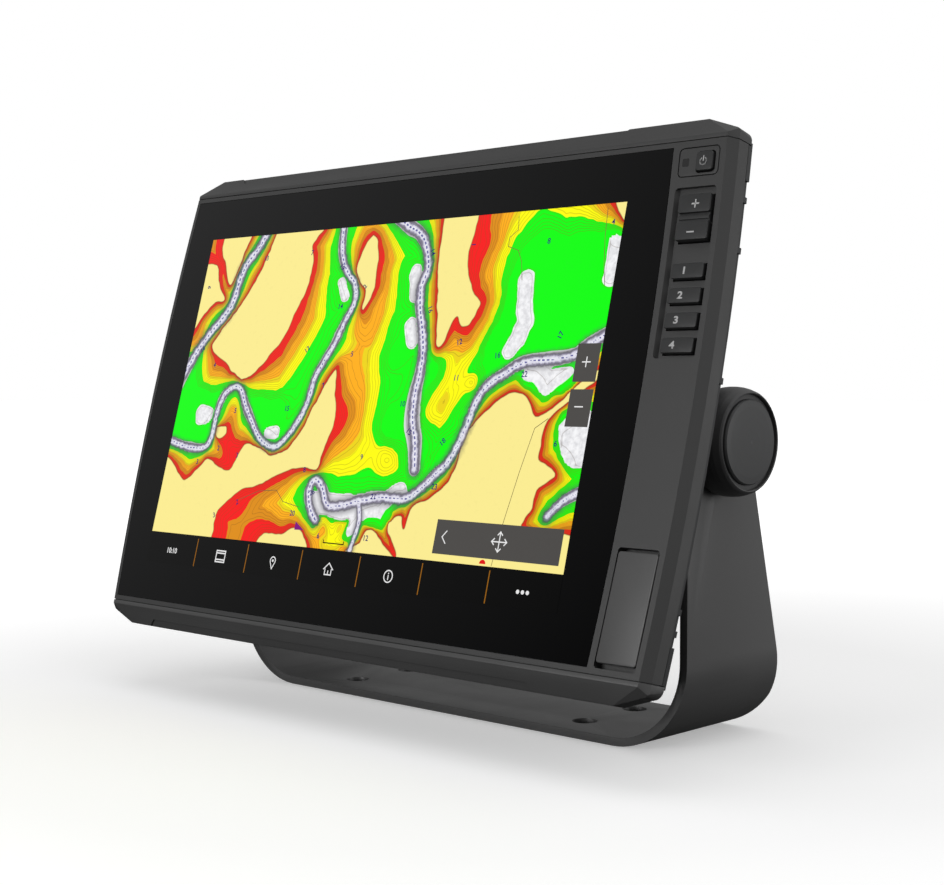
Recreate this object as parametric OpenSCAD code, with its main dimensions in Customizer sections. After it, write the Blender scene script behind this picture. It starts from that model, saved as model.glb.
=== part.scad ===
/* [Tilt and pivot] */
// Lean of the head away from upright at rest, degrees
tilt = 15; // [0:1:45]
// Height of the pivot above the mounting surface
pivot_z = 125.7; // [110:0.1:150]
// Pivot position behind the centre of the base plate
pivot_y = -14; // [-25:0.5:5]
// Distance from the front face back to the pivot
pivot_depth = 58.8; // [50:0.1:65]
// Pivot position below the mid-height of the head
pivot_drop = 1.5; // [0:0.1:5]

/* [Head outline] */
// Half width of the flat front face at mid-height
face_hw = 165.5; // [150:0.1:180]
// Radius of the bowed left and right edges
bow_r = 1367; // [800:1:3000]
// Width of the bevel round the front face
bevel_w = 3; // [1:0.1:6]
// Depth of the bevel round the front face
bevel_d = 3.9; // [1:0.1:6]
// Extra width gained by the side wall behind the bevel
wall_draft = 0.6; // [0:0.1:2]
// Thickness of the front frame
frame_d = 9.3; // [8:0.1:14]
// Height of each seam between frame and trim cap above mid-height
seam_z = 103.2; // [95:0.1:110]
// Width of the seams
seam_gap = 0.4; // [0.2:0.05:1]
// Height at which the flat part of a trim cap ends
cap_flat_z = 105.1; // [104:0.1:108]
// Top edge of a trim cap
cap_top_z = 113.1; // [110:0.1:118]
// Depth at which the sloping face of a cap meets its outer edge
cap_slope_d = 4; // [3:0.1:6]
// Depth of the trim caps, which reach back over the edge of the rear housing
cap_d = 11.2; // [9:0.1:14]

/* [Glass and display] */
// Left edge of the cover glass at mid-height
glass_xl = -163.2; // [-165:0.1:-150]
// Right edge of the cover glass at mid-height
glass_xr = 140.8; // [130:0.1:145]
// Half height of the cover glass
glass_hh = 100.7; // [95:0.1:102]
// Thickness of the cover glass
glass_t = 2; // [1:0.1:3]
// Centre of the display area across the head
lcd_x = -11.7; // [-20:0.1:0]
// Width of the display module
lcd_w = 278; // [265:0.5:290]
// Height of the display module
lcd_h = 184; // [170:0.5:190]

/* [Control strip] */
// Inset of the strip's panels from the right edge of the face
strip_out = 2.5; // [1.5:0.1:5]
// Inset of the strip panels' inner edge
strip_in = 21.7; // [18:0.1:24]
// Inset of the keys' outer edge
key_out = 3.6; // [3:0.1:6]
// Inset of the keys' inner edge
key_in = 18.3; // [15:0.1:20]
// Depth of the keypad recess
recess_d = 1.8; // [1:0.1:3]
// Height of the keys above the front face
key_proud = 0.7; // [0:0.1:2]
// Height of a numbered key
key_h = 6; // [4:0.1:8]
// Spacing of the numbered keys
key_pitch = 9.67; // [8:0.01:12]
// Top edge of the first numbered key
key_top_z = 53.5; // [40:0.1:60]
// Bottom edge of the card door pocket
door_z0 = -100.7; // [-102:0.1:-90]
// Top edge of the card door pocket
door_z1 = -55.5; // [-70:0.1:-45]
// Radius of the rounded hinge edge of the card door
door_r = 2; // [1.5:0.1:3]

/* [Rear housing] */
// Half width of the front tub of the housing
tub_hw = 158; // [150:0.5:160]
// Half height of the front tub
tub_hh = 97; // [90:0.5:100]
// Depth at which the front tub ends
tub_d = 24; // [20:0.5:30]
// Half width of the deep part of the housing
box_hw = 126; // [110:0.5:128]
// Half height of the deep part
box_hh = 94; // [80:0.5:96]
// Depth of the back wall
box_d = 70; // [64:0.5:74]
// Chamfer round the back wall
box_cut = 14; // [6:0.5:18]
// Wall thickness of the housing
wall = 3; // [2:0.1:5]

/* [Bracket and knobs] */
// Half width of the bracket over its arms
arm_hw = 137.9; // [130:0.1:145]
// Thickness of the bracket plate
plate_t = 3.6; // [2:0.1:6]
// Outside radius of the bends
bend_r = 37.6; // [20:0.1:50]
// Half depth of the base plate
base_hd = 34.8; // [25:0.1:45]
// Radius of the rounded arm ends
arm_end_r = 20.8; // [15:0.1:25]
// Spacing of the base holes across the bracket
hole_sx = 143.6; // [120:0.1:180]
// Spacing of the base holes from front to back
hole_sy = 35; // [20:0.5:50]
// Diameter of the base holes
hole_d = 5.5; // [4:0.1:8]
// Diameter of the counterbores over the base holes
bore_d = 11; // [8:0.1:14]
// Largest radius of a knob
knob_r = 22; // [15:0.1:26]
// Length of a knob
knob_l = 14.9; // [10:0.1:25]
// Radius of the knob's threaded stud
stud_r = 4; // [3:0.1:5]

/* [Hidden] */
$fn = 64;
face_x1 = arm_hw + 0.4;
keys = [for (i = [0:3]) key_top_z - i * key_pitch];
slope_a = atan2(cap_slope_d, cap_top_z - cap_flat_z);
slope_l = norm([cap_slope_d, cap_top_z - cap_flat_z]);
rocker_z = [62.4, 80.7];
power_z = [90, 97.8];
power_in = 12.7;
power_out = 4.9;
panel_z = [88.2, 100.3];
recess_z = [16.6, 84.1];
recess_run = 1.3;
clip_x = [-110, -40, 40, 110];
hinge_yz = [door_r, door_z0 + 1.7 + door_r];
plug_z = -56;
rocker_y = 3.2;
rocker_pz = 71.15;
screw_xz = [for (s = [-1, 1]) for (z = [-72, 0, 72]) [s * 162.6, z], [-70, 99.8], [70, 99.8],
  [-70, -99.8], [70, -99.8]];
board_xz = [for (x = [-100, 0, 100]) for (z = [-74, 74]) [x, z]];
chassis_xz = [for (x = [-140, 130]) for (z = [-80, 80]) [x, z]];

// Places the head's own frame: x across, y back from the face, z up the face from mid-height
module in_head() {
  translate([0, pivot_y, pivot_z]) rotate([-tilt, 0, 0])
    translate([0, -pivot_depth, pivot_drop]) children();
}

// Disc, or cone, of the bow radius whose edge passes through x on the side s
module bow(x, s, y0, y1, grow = 0)
  translate([x - s * bow_r, y0, 0]) rotate([-90, 0, 0])
    cylinder(r1 = bow_r, r2 = bow_r + grow, h = y1 - y0, $fn = 720);

// Block with bowed left and right edges
module bow_block(xl, xr, y0, y1, z0, z1) intersection() {
  translate([xl - 1, y0, z0]) cube([xr - xl + 2, y1 - y0, z1 - z0]);
  bow(xl, -1, y0 - 1, y1 + 1);
  bow(xr, 1, y0 - 1, y1 + 1);
}

// Block on the control strip, its sides parallel to the right edge of the face
module strip_block(inner, outer, y0, y1, z0, z1) difference() {
  intersection() {
    translate([face_hw - inner - 8, y0, z0]) cube([inner - outer + 9, y1 - y0, z1 - z0]);
    bow(face_hw - outer, 1, y0 - 1, y1 + 1);
  }
  bow(face_hw - inner, 1, y0 - 2, y1 + 2);
}

// Bevelled side faces shared by the frame and the trim caps
module side_form(s, d) {
  bow(s * face_hw, s, -0.01, 0, 0);
  bow(s * face_hw, s, 0, bevel_d, bevel_w);
  translate([s * (face_hw + bevel_w) - s * (bow_r + bevel_w), bevel_d, 0]) rotate([-90, 0, 0])
    cylinder(r1 = bow_r + bevel_w, r2 = bow_r + bevel_w + wall_draft, h = d - bevel_d, $fn = 720);
}

module sided(z0, z1, y0 = 0, d = frame_d) intersection() {
  translate([-180, y0, z0]) cube([360, d - y0, z1 - z0]);
  side_form(1, d);
  side_form(-1, d);
}

// Rod along x between two positions
module xrod(x0, x1, y, z, r)
  translate([x0, y, z]) rotate([0, 90, 0]) cylinder(r = r, h = x1 - x0);

// Rod along y between two depths
module yrod(x, z, y0, y1, r)
  translate([x, y0, z]) rotate([-90, 0, 0]) cylinder(r = r, h = y1 - y0);

// Moulded frame that carries the glass, the keys and the card door
module front_frame() color("#3c3d3f") in_head() {
  difference() {
    union() {
      sided(-seam_z + seam_gap / 2, seam_z - seam_gap / 2);
      translate([-152.5, 5.6, -109.8]) cube([305, frame_d - 5.6, 219.6]);
      intersection() {
        sided(-seam_z - 1.6, seam_z + 1.6, 4.6);
        translate([-161, 0, -200]) cube([322, 20, 400]);
      }
    }
    bow_block(glass_xl - 0.25, glass_xr + 0.25, -1, glass_t + 0.2, -glass_hh - 0.25, glass_hh + 0.25);
    translate([lcd_x - lcd_w / 2 - 0.5, 1, -lcd_h / 2 - 0.5]) cube([lcd_w + 1, 20, lcd_h + 1]);
    strip_block(21.5, 2.6, -1, 1.4, panel_z[0], panel_z[1]);
    strip_block(power_in + 0.6, power_out - 0.6, -1, 20, power_z[0] - 0.6, power_z[1] + 0.6);
    keypad_recess();
    for (z = keys) strip_block(key_in + 0.4, key_out - 0.4, -1, 20, z - key_h - 0.4, z + 0.4);
    strip_block(key_in + 0.4, key_out - 0.5, -1, 20, rocker_z[0] - 0.5, rocker_z[1] + 0.5);
    strip_block(19.4, 3.4, 3, 20, 17.5, 101.2);
    strip_block(strip_in, strip_out, -1, 4.6, door_z0, door_z1);
    xrod(138.5, 161.5, hinge_yz[0], hinge_yz[1], 0.77);
    translate([141.5, 1, -84.4]) cube([13.3, 20, 18.8]);
    xrod(143, 162.4, rocker_y, rocker_pz, 0.83);
    for (p = screw_xz) yrod(p[0], p[1], 5.2, 20, 1.45);
    for (s = [-1, 1]) for (x = [-148, 148]) yrod(x, s * 105.8, 0, 20, 2.3);
    for (s = [-1, 1]) for (x = clip_x) yrod(x, s * 106.4, 0, 20, 2.1);
  }
  for (x = [143.1, 160.5]) difference() {
    translate([x, 2.9, rocker_pz - 2.2]) cube([1.8, 2, 4.4]);
    xrod(x - 1, x + 3, rocker_y, rocker_pz, 0.83);
  }
}

// Keypad recess with sloping inner and top walls
module keypad_recess() difference() {
  strip_block(strip_in + 1, strip_out, -1, recess_d, recess_z[0], recess_z[1]);
  translate([face_hw - strip_in - bow_r - recess_run / recess_d, -1, 0]) rotate([-90, 0, 0])
    cylinder(r1 = bow_r, r2 = bow_r + 4 * recess_run / recess_d, h = 4, $fn = 720);
  translate([100, 0, recess_z[1]]) rotate([atan2(recess_run, recess_d), 0, 0])
    translate([0, -3, 0]) cube([80, 9, 5]);
}

// Trim cap in its upper position: hollow behind, bevelled like the frame, cut at both corners
module trim_cap() difference() {
  sided(seam_z + seam_gap / 2, cap_top_z, 0, cap_d);
  translate([-200, 0, cap_flat_z]) rotate([-slope_a, 0, 0]) translate([0, -20, -20]) cube([400, 20, 60]);
  for (s = [-1, 1]) {
    mirrored(s) translate([161.6, 0, cap_flat_z]) rotate([0, 44.2, -69.6])
      translate([-40, -40, 0]) cube([80, 80, 30]);
    mirrored(s) translate([148.9, -1, cap_top_z]) rotate([0, 19.2, 0])
      translate([-10, 0, 0]) cube([60, 20, 20]);
    mirrored(s) difference() {
      translate([160.6, -1, 104.3]) cube([10, 20, 20]);
      yrod(160.6, 104.3, -2, 20, 4.55);
    }
  }
  cap_notch();
  translate([-161.3, 4.3, seam_z - 3]) cube([322.6, 20, 4.9]);
  difference() {
    translate([-153, 5.3, seam_z - 3]) cube([306, 20, 10]);
    for (x = clip_x) yrod(x, 106.4, 0, 9, 2);
  }
}

// Shallow finger notch along the outer edge of a cap
module cap_notch()
  translate([lcd_x, 0, cap_flat_z]) rotate([-slope_a, 0, 0]) rotate([90, 0, 0])
    translate([0, 0, -0.8]) linear_extrude(4)
      polygon([[-118.5, 5.5], [118.5, 5.5], [126.5, 13.5], [-126.5, 13.5]]);

module mirrored(s) {
  if (s > 0) children();
  else mirror([1, 0, 0]) children();
}

module top_trim_cap() color("#444547") in_head() trim_cap();

module bottom_trim_cap() color("#444547") in_head() mirror([0, 0, 1]) trim_cap();

module cover_glass() color("#101215") in_head()
  bow_block(glass_xl, glass_xr, 0, glass_t, -glass_hh, glass_hh);

module lcd_panel() color("#27506e") in_head()
  translate([lcd_x - lcd_w / 2, glass_t + 0.3, -lcd_h / 2]) cube([lcd_w, 1.9, lcd_h]);

module backlight() color("#d8dadc") in_head()
  translate([lcd_x - lcd_w / 2, glass_t + 2.3, -lcd_h / 2]) cube([lcd_w, 4.4, lcd_h]);

// Stiffening plate behind the display, with posts for the power board
module display_chassis() color("#a9adb0") in_head() difference() {
  union() {
    translate([-149, 10.4, -89]) cube([285, 2, 178]);
    for (x = [-100, -44]) for (z = [-76, -24]) yrod(x, z, 12.4, 16, 3.5);
  }
  for (x = [-20, 30, 80]) translate([x - 14, 0, -20]) cube([28, 20, 40]);
  for (p = chassis_xz) yrod(p[0], p[1], 0, 20, 1.7);
}

module chassis_screws() color("#b7babd") in_head()
  for (p = chassis_xz) {
    yrod(p[0], p[1], 10.4, 18, 1.35);
    yrod(p[0], p[1], 9.35, 10.4, 2.6);
  }

// Flush panel round the power key
module power_panel() color("#424345") in_head() difference() {
  strip_block(21.1, 3, 0, 1.3, panel_z[0] + 0.4, panel_z[1] - 0.4);
  strip_block(power_in + 0.5, power_out - 0.5, -1, 5, power_z[0] - 0.5, power_z[1] + 0.5);
  yrod(144.3, 94.2, -1, 5, 1.35);
}

module light_sensor() color("#1b1d22") in_head()
  yrod(144.3, 94.2, 0.1, 1.3, 1.3);

// Key cap with a flange that holds it behind the frame
module key_body(inner, outer, z0, z1, proud) {
  strip_block(inner, outer, -proud, 4.1, z0, z1);
  strip_block(inner + 0.6, outer + 0.2, 3.3, 4.1, z0 - 0.8, z1 + 0.8);
}

module power_key() color("#36373a") in_head()
  key_body(power_in, power_out, power_z[0], power_z[1], 1.2);

module num_key(i) key_body(key_in, key_out, keys[i] - key_h, keys[i], key_proud);

module key_1() color("#36373a") in_head() num_key(0);

module key_2() color("#36373a") in_head() num_key(1);

module key_3() color("#36373a") in_head() num_key(2);

module key_4() color("#36373a") in_head() num_key(3);

// Zoom rocker with a cross groove and a hub for its pin
module zoom_rocker() color("#36373a") in_head() difference() {
  union() {
    strip_block(key_in, key_out, -key_proud - 0.8, 3, rocker_z[0], rocker_z[1]);
    xrod(146.2, 159.2, rocker_y, rocker_pz, 1.6);
  }
  strip_block(key_in + 1, key_out - 1, -3, -0.2, 69.8, 73);
  xrod(130, 170, rocker_y, rocker_pz, 0.86);
}

module rocker_pin() color("#b7babd") in_head()
  xrod(143.2, 162.2, rocker_y, rocker_pz, 0.8);

// Silicone sheet behind the keys, open round the rocker's hub
module keypad_membrane() color("#5b5d61") in_head() difference() {
  strip_block(19.2, 3.8, 5, 5.5, 18, 100.8);
  strip_block(18, 4.5, 0, 9, 68, 74.5);
}

module key_switches() color("#c3c5c8") in_head() {
  for (z = keys) translate([151.2, 5.8, z - key_h / 2 - 1.5]) cube([4, 1, 3]);
  for (z = [64, 78.3]) translate([151.2, 5.8, z - 1.5]) cube([4, 1, 3]);
  translate([152.6, 5.8, 92.4]) cube([4, 1, 3]);
}

module keypad_board() color("#1e5b3a") in_head()
  strip_block(19.2, 4, 6.8, 8.2, 18, 100.6);

// Card door, hinged along its rounded lower edge
module card_door() color("#404143") in_head() difference() {
  union() {
    strip_block(strip_in - 0.4, strip_out + 0.4, 0, 2.4, hinge_yz[1], door_z1 - 1.4);
    intersection() {
      strip_block(strip_in - 0.4, strip_out + 0.4, -1, 6, hinge_yz[1] - 3, hinge_yz[1] + 3);
      xrod(130, 170, hinge_yz[0], hinge_yz[1], door_r);
    }
  }
  xrod(130, 170, hinge_yz[0], hinge_yz[1], 0.81);
}

module card_door_pin() color("#b7babd") in_head()
  xrod(138.6, 161.4, hinge_yz[0], hinge_yz[1], 0.75);

// Rubber lip on the back of the card door
module card_door_seal() color("#1c1d1f") in_head() difference() {
  strip_block(strip_in - 1.2, strip_out + 1.2, 2.4, 3.4, -92.5, door_z1 - 2.2);
  strip_block(strip_in - 2.6, strip_out + 2.6, 0, 6, -91, door_z1 - 3.7);
}

// Reader for two small memory cards
module card_reader() color("#8f9396") in_head() difference() {
  translate([141.9, 4.8, -84]) cube([12.5, 9, 18]);
  for (z = [-79.6, -71.6]) translate([142.5, 3, z - 0.6]) cube([11.3, 9.5, 1.2]);
}

// Outline of the housing flange and its gasket
module flange(y0, y1, inset)
  bow_block(-face_hw - 3.4 + inset, face_hw + 3.4 - inset, y0, y1, -seam_z + 1, seam_z - 1);

module housing_gasket() color("#1c1d1f") in_head() difference() {
  flange(frame_d + 0.05, frame_d + 0.75, 2.4);
  translate([-tub_hw + 0.5, 0, -tub_hh + 0.6]) cube([2 * tub_hw - 1, 20, 2 * tub_hh - 1.2]);
  for (p = screw_xz) yrod(p[0], p[1], 0, 20, 1.7);
}

// Box with chamfered back edges, open at the front
module tub(hw, hh, y0, y1, c) intersection() {
  translate([-hw, y0, -hh]) cube([2 * hw, y1 - y0, 2 * hh]);
  translate([0, y0 - 1, 0]) rotate([90, 0, 0]) mirror([0, 0, 1]) linear_extrude(y1 - y0 + 2)
    polygon([[hw, hh - 10], [hw - 10, hh], [10 - hw, hh], [-hw, hh - 10], [-hw, 10 - hh],
      [10 - hw, -hh], [hw - 10, -hh], [hw, 10 - hh]]);
  translate([0, 0, -hh - 1]) linear_extrude(2 * hh + 2)
    polygon([[-hw, y0 - 1], [hw, y0 - 1], [hw, y1 - c], [hw - c, y1], [c - hw, y1], [-hw, y1 - c]]);
  translate([-hw - 1, 0, 0]) rotate([90, 0, 90]) linear_extrude(2 * hw + 2)
    polygon([[y0 - 1, -hh], [y1 - c, -hh], [y1, c - hh], [y1, hh - c], [y1 - c, hh], [y0 - 1, hh]]);
}

// Cast rear housing: flange, front tub, finned box, pivot bosses
module rear_housing() color("#303133") in_head() difference() {
  union() {
    flange(frame_d + 0.8, frame_d + 3.2, 1.2);
    for (s = [-1, 1]) for (z = [-84, -76, 11, 61.5, 81.5])
      intersection() {
        translate([s * 168 - 4, frame_d + 0.8, z - 1.2]) cube([8, 2.4, 2.4]);
        flange(frame_d, frame_d + 4, 0.4);
      }
    for (s = [-1, 1]) for (z = [-seam_z + 0.1, 89]) intersection() {
      translate([s * 168 - 6, 0, z]) cube([12, 20, seam_z - 89.1]);
      bow_block(-face_hw - 3.2, face_hw + 3.2, frame_d + 0.8, frame_d + 3.2, -110, 110);
    }
    for (s = [-1, 1]) for (z = [-seam_z - 1.3, 89]) intersection() {
      translate([s * 168 - 6, 0, z]) cube([12, 20, seam_z - 87.7]);
      bow_block(-face_hw - 3.2, face_hw + 3.2, cap_d + 0.2, frame_d + 3.2, -110, 110);
    }
    tub(tub_hw, tub_hh, frame_d + 0.8, tub_d, 8);
    tub(box_hw, box_hh, frame_d + 0.8, box_d, box_cut);
    for (s = [-1, 1]) xrod(s > 0 ? 100 : -132.4, s > 0 ? 132.4 : -100, pivot_depth, -pivot_drop, 11);
    for (x = [-99:9:99]) translate([x - 1.1, box_d - 1, -20]) cube([2.2, 4.5, 98]);
  }
  difference() {
    union() {
      tub(tub_hw - wall, tub_hh - wall, frame_d, tub_d - wall, 7);
      tub(box_hw - wall, box_hh - wall, frame_d, box_d - wall, box_cut - 1);
    }
    for (s = [-1, 1]) xrod(s > 0 ? 100 : -140, s > 0 ? 140 : -100, pivot_depth, -pivot_drop, 11);
    for (p = board_xz) yrod(p[0], p[1], 51.65, 80, 4);
    for (p = chassis_xz) yrod(p[0], p[1], 12.45, 30, 4);
  }
  for (s = [-1, 1]) xrod(s > 0 ? 114 : -140, s > 0 ? 140 : -114, pivot_depth, -pivot_drop, 7.05);
  for (p = board_xz) yrod(p[0], p[1], 40, 62, 1.3);
  for (p = chassis_xz) yrod(p[0], p[1], 10, 19, 1.4);
  for (p = screw_xz) {
    yrod(p[0], p[1], 0, 20, 1.5);
    yrod(p[0], p[1], frame_d + 1.85, 20, 2.05);
  }
  yrod(-84, plug_z, 60, 90, 8.55);
  yrod(-54, plug_z, 60, 90, 8.05);
  for (x = [-24, 4]) yrod(x, plug_z, 60, 90, 8.05);
  yrod(40, plug_z, 60, 90, 12.05);
  yrod(80, plug_z, 60, 90, 5.05);
}

module housing_screws() color("#b7babd") in_head()
  for (p = screw_xz) {
    yrod(p[0], p[1], 5.5, frame_d + 1.9, 1.4);
    yrod(p[0], p[1], frame_d + 1.9, frame_d + 3.1, 1.95);
  }

module pivot_inserts() color("#b89448") in_head() for (s = [-1, 1]) difference() {
  xrod(s > 0 ? 114.5 : -132.4, s > 0 ? 132.4 : -114.5, pivot_depth, -pivot_drop, 7);
  xrod(s > 0 ? 115.5 : -140, s > 0 ? 140 : -115.5, pivot_depth, -pivot_drop, stud_r + 0.06);
}

module main_board() color("#1e5b3a") in_head() difference() {
  translate([-112, 50, -82]) cube([224, 1.6, 164]);
  for (p = board_xz) yrod(p[0], p[1], 0, 80, 1.5);
  for (s = [-1, 1]) translate([s * 112 - 15, 40, -16]) cube([30, 20, 30]);
}

module board_screws() color("#b7babd") in_head()
  for (p = board_xz) {
    yrod(p[0], p[1], 50, 60, 1.25);
    yrod(p[0], p[1], 48.2, 50, 2.6);
  }

module processor() color("#232427") in_head()
  translate([-17, 51.6, 8]) cube([34, 2.2, 34]);

// Aluminium block that carries the processor's heat to the finned back wall
module heat_spreader() color("#a9adb0") in_head()
  translate([-30, 53.8, -5]) cube([60, 13, 60]);

module power_board() color("#1e5b3a") in_head() {
  translate([-107, 16.05, -82]) cube([70, 1.6, 64]);
  translate([-100, 17.65, -56]) cube([20, 10, 20]);
  for (x = [-68, -54]) yrod(x, -44, 17.65, 28, 5);
}

module clock_battery() color("#c9ccce") in_head()
  yrod(70, 30, 51.65, 55, 10);

module gps_antenna() color("#cfc6ae") in_head()
  translate([46, 45, 54]) cube([25, 4.95, 25]);

// Round panel connector: body through the back wall, collar, n contact holes in its face
module panel_plug(x, r, n, pr) difference() {
  union() {
    yrod(x, plug_z, 52, box_d + 12, r);
    yrod(x, plug_z, box_d + 0.05, box_d + 3, r + 2.4);
  }
  for (i = [0:n - 1])
    yrod(x + pr * cos(360 * i / n), plug_z + pr * sin(360 * i / n), box_d + 5, box_d + 20, 0.8);
}

module power_connector() color("#1d1e20") in_head() panel_plug(-84, 8.5, 4, 4);

module bus_connector() color("#1d1e20") in_head() panel_plug(-54, 8, 5, 3.6);

module network_connectors() color("#1d1e20") in_head() {
  panel_plug(-24, 8, 8, 4.6);
  panel_plug(4, 8, 8, 4.6);
}

module sonar_connector() color("#1d1e20") in_head() panel_plug(40, 12, 12, 7.5);

module vent_plug() color("#55585c") in_head() {
  yrod(80, plug_z, box_d - wall - 1, box_d + 0.5, 5);
  yrod(80, plug_z, box_d + 0.05, box_d + 2.2, 7);
}

// U-shaped bail bracket bent from plate, with tapering round-ended arms
module bail_bracket() color("#2b2c2e") difference() {
  intersection() {
    bail_u();
    bail_side();
  }
  for (sx = [-1, 1]) for (sy = [-1, 1]) translate([sx * hole_sx / 2, sy * hole_sy / 2, -1]) {
    cylinder(d = hole_d, h = 20);
    translate([0, 0, 2.4]) cylinder(d = bore_d, h = 20);
  }
  xrod(-200, 200, pivot_y, pivot_z, stud_r + 0.08);
}

// Front view of the bracket
module bail_u() translate([0, 100, 0]) rotate([90, 0, 0]) linear_extrude(200) difference() {
  bail_outline(arm_hw, 0, bend_r);
  bail_outline(arm_hw - plate_t, plate_t, bend_r - plate_t);
}

module bail_outline(hw, z0, r) {
  translate([-hw, z0 + r]) square([2 * hw, 200]);
  translate([-hw + r, z0]) square([2 * (hw - r), 200]);
  for (s = [-1, 1]) translate([s * (hw - r), z0 + r]) circle(r);
}

// Side view of the bracket
module bail_side() {
  translate([-200, 0, 0]) rotate([90, 0, 90]) linear_extrude(400)
    polygon([[-base_hd, -1], [base_hd, -1], [base_hd, 16], [6.15, 130.8], [pivot_y, pivot_z],
      [-base_hd, pivot_z]]);
  xrod(-200, 200, pivot_y, pivot_z, arm_end_r);
}

module friction_washers() color("#8d6b3a") for (s = [-1, 1]) difference() {
  xrod(s > 0 ? 132.45 : -134, s > 0 ? 134 : -132.45, pivot_y, pivot_z, 12);
  xrod(-200, 200, pivot_y, pivot_z, stud_r + 0.3);
}

module washer() difference() {
  xrod(arm_hw + 0.3, arm_hw + 1.6, pivot_y, pivot_z, 10.5);
  xrod(arm_hw - 1, arm_hw + 4, pivot_y, pivot_z, stud_r + 0.08);
}

module washer_right() color("#b7babd") washer();

module washer_left() color("#b7babd") mirror([1, 0, 0]) washer();

// Clamp knob: barrel-shaped, recessed for its cap, relieved for the washer
module knob() translate([face_x1, pivot_y, pivot_z]) rotate([0, 90, 0]) rotate_extrude($fn = 96)
  polygon([[stud_r + 0.02, 1.8], [11, 1.8], [11, 0], [20.2, 0], [21.2, 1.2], [21.8, 3], [knob_r, 5],
    [knob_r, 7.5], [21.8, 9.6], [21.4, 11.4], [20.9, 12.8], [20.5, 13.9], [20, 14.6],
    [19.6, knob_l], [19.2, 14.7], [19, 13.2], [17.2, 13.2], [17.2, 11.6],
    [stud_r + 0.02, 11.6]]);

module knob_right() color("#2e2f31") knob();

module knob_left() color("#2e2f31") mirror([1, 0, 0]) knob();

module knob_stud() difference() {
  xrod(116.2, face_x1 + 11.4, pivot_y, pivot_z, stud_r);
  xrod(100, 117, pivot_y, pivot_z, 1.4);
}

module knob_stud_right() color("#b7babd") knob_stud();

module knob_stud_left() color("#b7babd") mirror([1, 0, 0]) knob_stud();

// Domed disc set into the face of a knob
module knob_cap() translate([face_x1, pivot_y, pivot_z]) rotate([0, 90, 0]) rotate_extrude($fn = 96)
  polygon([[0, 11.65], [17.1, 11.65], [17.1, 14.2], [16.6, 14.9], [14, 15.15], [10, 15.35],
    [5, 15.5], [0, 15.55]]);

module knob_cap_right() color("#3a3b3e") knob_cap();

module knob_cap_left() color("#3a3b3e") mirror([1, 0, 0]) knob_cap();

front_frame();
top_trim_cap();
bottom_trim_cap();
cover_glass();
lcd_panel();
backlight();
display_chassis();
chassis_screws();
power_panel();
light_sensor();
power_key();
zoom_rocker();
rocker_pin();
key_1();
key_2();
key_3();
key_4();
keypad_membrane();
key_switches();
keypad_board();
card_door();
card_door_pin();
card_door_seal();
card_reader();
housing_gasket();
rear_housing();
housing_screws();
pivot_inserts();
main_board();
board_screws();
processor();
heat_spreader();
power_board();
clock_battery();
gps_antenna();
power_connector();
bus_connector();
network_connectors();
sonar_connector();
vent_plug();
bail_bracket();
friction_washers();
washer_right();
washer_left();
knob_right();
knob_left();
knob_stud_right();
knob_stud_left();
knob_cap_right();
knob_cap_left();
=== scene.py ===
"""Finished look of the chartplotter display and its bail bracket, built round the CAD frame."""
import math

import bpy
import numpy as np
from mathutils import Matrix, Vector, noise


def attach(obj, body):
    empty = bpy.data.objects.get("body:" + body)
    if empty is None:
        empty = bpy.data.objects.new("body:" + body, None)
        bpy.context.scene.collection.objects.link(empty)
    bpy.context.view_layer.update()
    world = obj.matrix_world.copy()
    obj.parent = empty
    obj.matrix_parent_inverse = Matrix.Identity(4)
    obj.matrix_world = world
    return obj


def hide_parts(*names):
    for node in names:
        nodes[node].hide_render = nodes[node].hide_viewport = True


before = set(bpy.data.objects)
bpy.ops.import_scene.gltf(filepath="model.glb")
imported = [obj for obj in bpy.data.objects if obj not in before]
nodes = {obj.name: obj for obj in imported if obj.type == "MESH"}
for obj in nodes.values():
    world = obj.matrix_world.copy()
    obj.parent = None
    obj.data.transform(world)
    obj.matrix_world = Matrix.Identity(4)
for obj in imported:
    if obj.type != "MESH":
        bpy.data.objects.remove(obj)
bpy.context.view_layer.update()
scene = bpy.context.scene

# ---------------------------------------------------------------- camera
camera = bpy.data.objects.new("camera", bpy.data.cameras.new("camera"))
scene.collection.objects.link(camera)
camera.location = (0.5172, -0.5621, 0.1510)
camera.rotation_euler = (math.radians(87.76), 0, math.radians(43.24))
camera.data.sensor_width = 36
camera.data.lens = 62.59
camera.data.clip_start = 0.01
scene.camera = camera
scene.view_settings.view_transform = "Standard"

# ---------------------------------------------------------------- places
MM = 0.001
TILT = math.radians(15)
PIVOT_DEPTH, PIVOT_DROP = 0.0588, 0.0015
# the head's own frame in mm: x across, y back from the face, z up from mid-height
HEAD = (
    Matrix.Translation((0, -0.014, 0.1257))
    @ Matrix.Rotation(-TILT, 4, "X")
    @ Matrix.Translation((0, -PIVOT_DEPTH, PIVOT_DROP))
    @ Matrix.Scale(MM, 4)
)
# flat artwork on the face: X across, Y up, Z towards the viewer
FACE = HEAD @ Matrix(((1, 0, 0, 0), (0, 0, -1, 0), (0, 1, 0, 0), (0, 0, 0, 1)))
# the lit area of the display, its origin at the lower left corner
LIT_W, LIT_H, BAR_H = 261.12, 163.2, 14.8
LIT = FACE @ Matrix.Translation((-142.3, -82.7, 0))
MAP_H = LIT_H - BAR_H


# ---------------------------------------------------------------- materials
def srgb(*rgb):
    """Linear colour from the 0 to 255 values of a screen colour."""
    return tuple(c / 255 / 12.92 if c < 10.3 else ((c / 255 + 0.055) / 1.055) ** 2.4 for c in rgb) + (1,)


def grey(v):
    return v, v, v, 1


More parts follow.
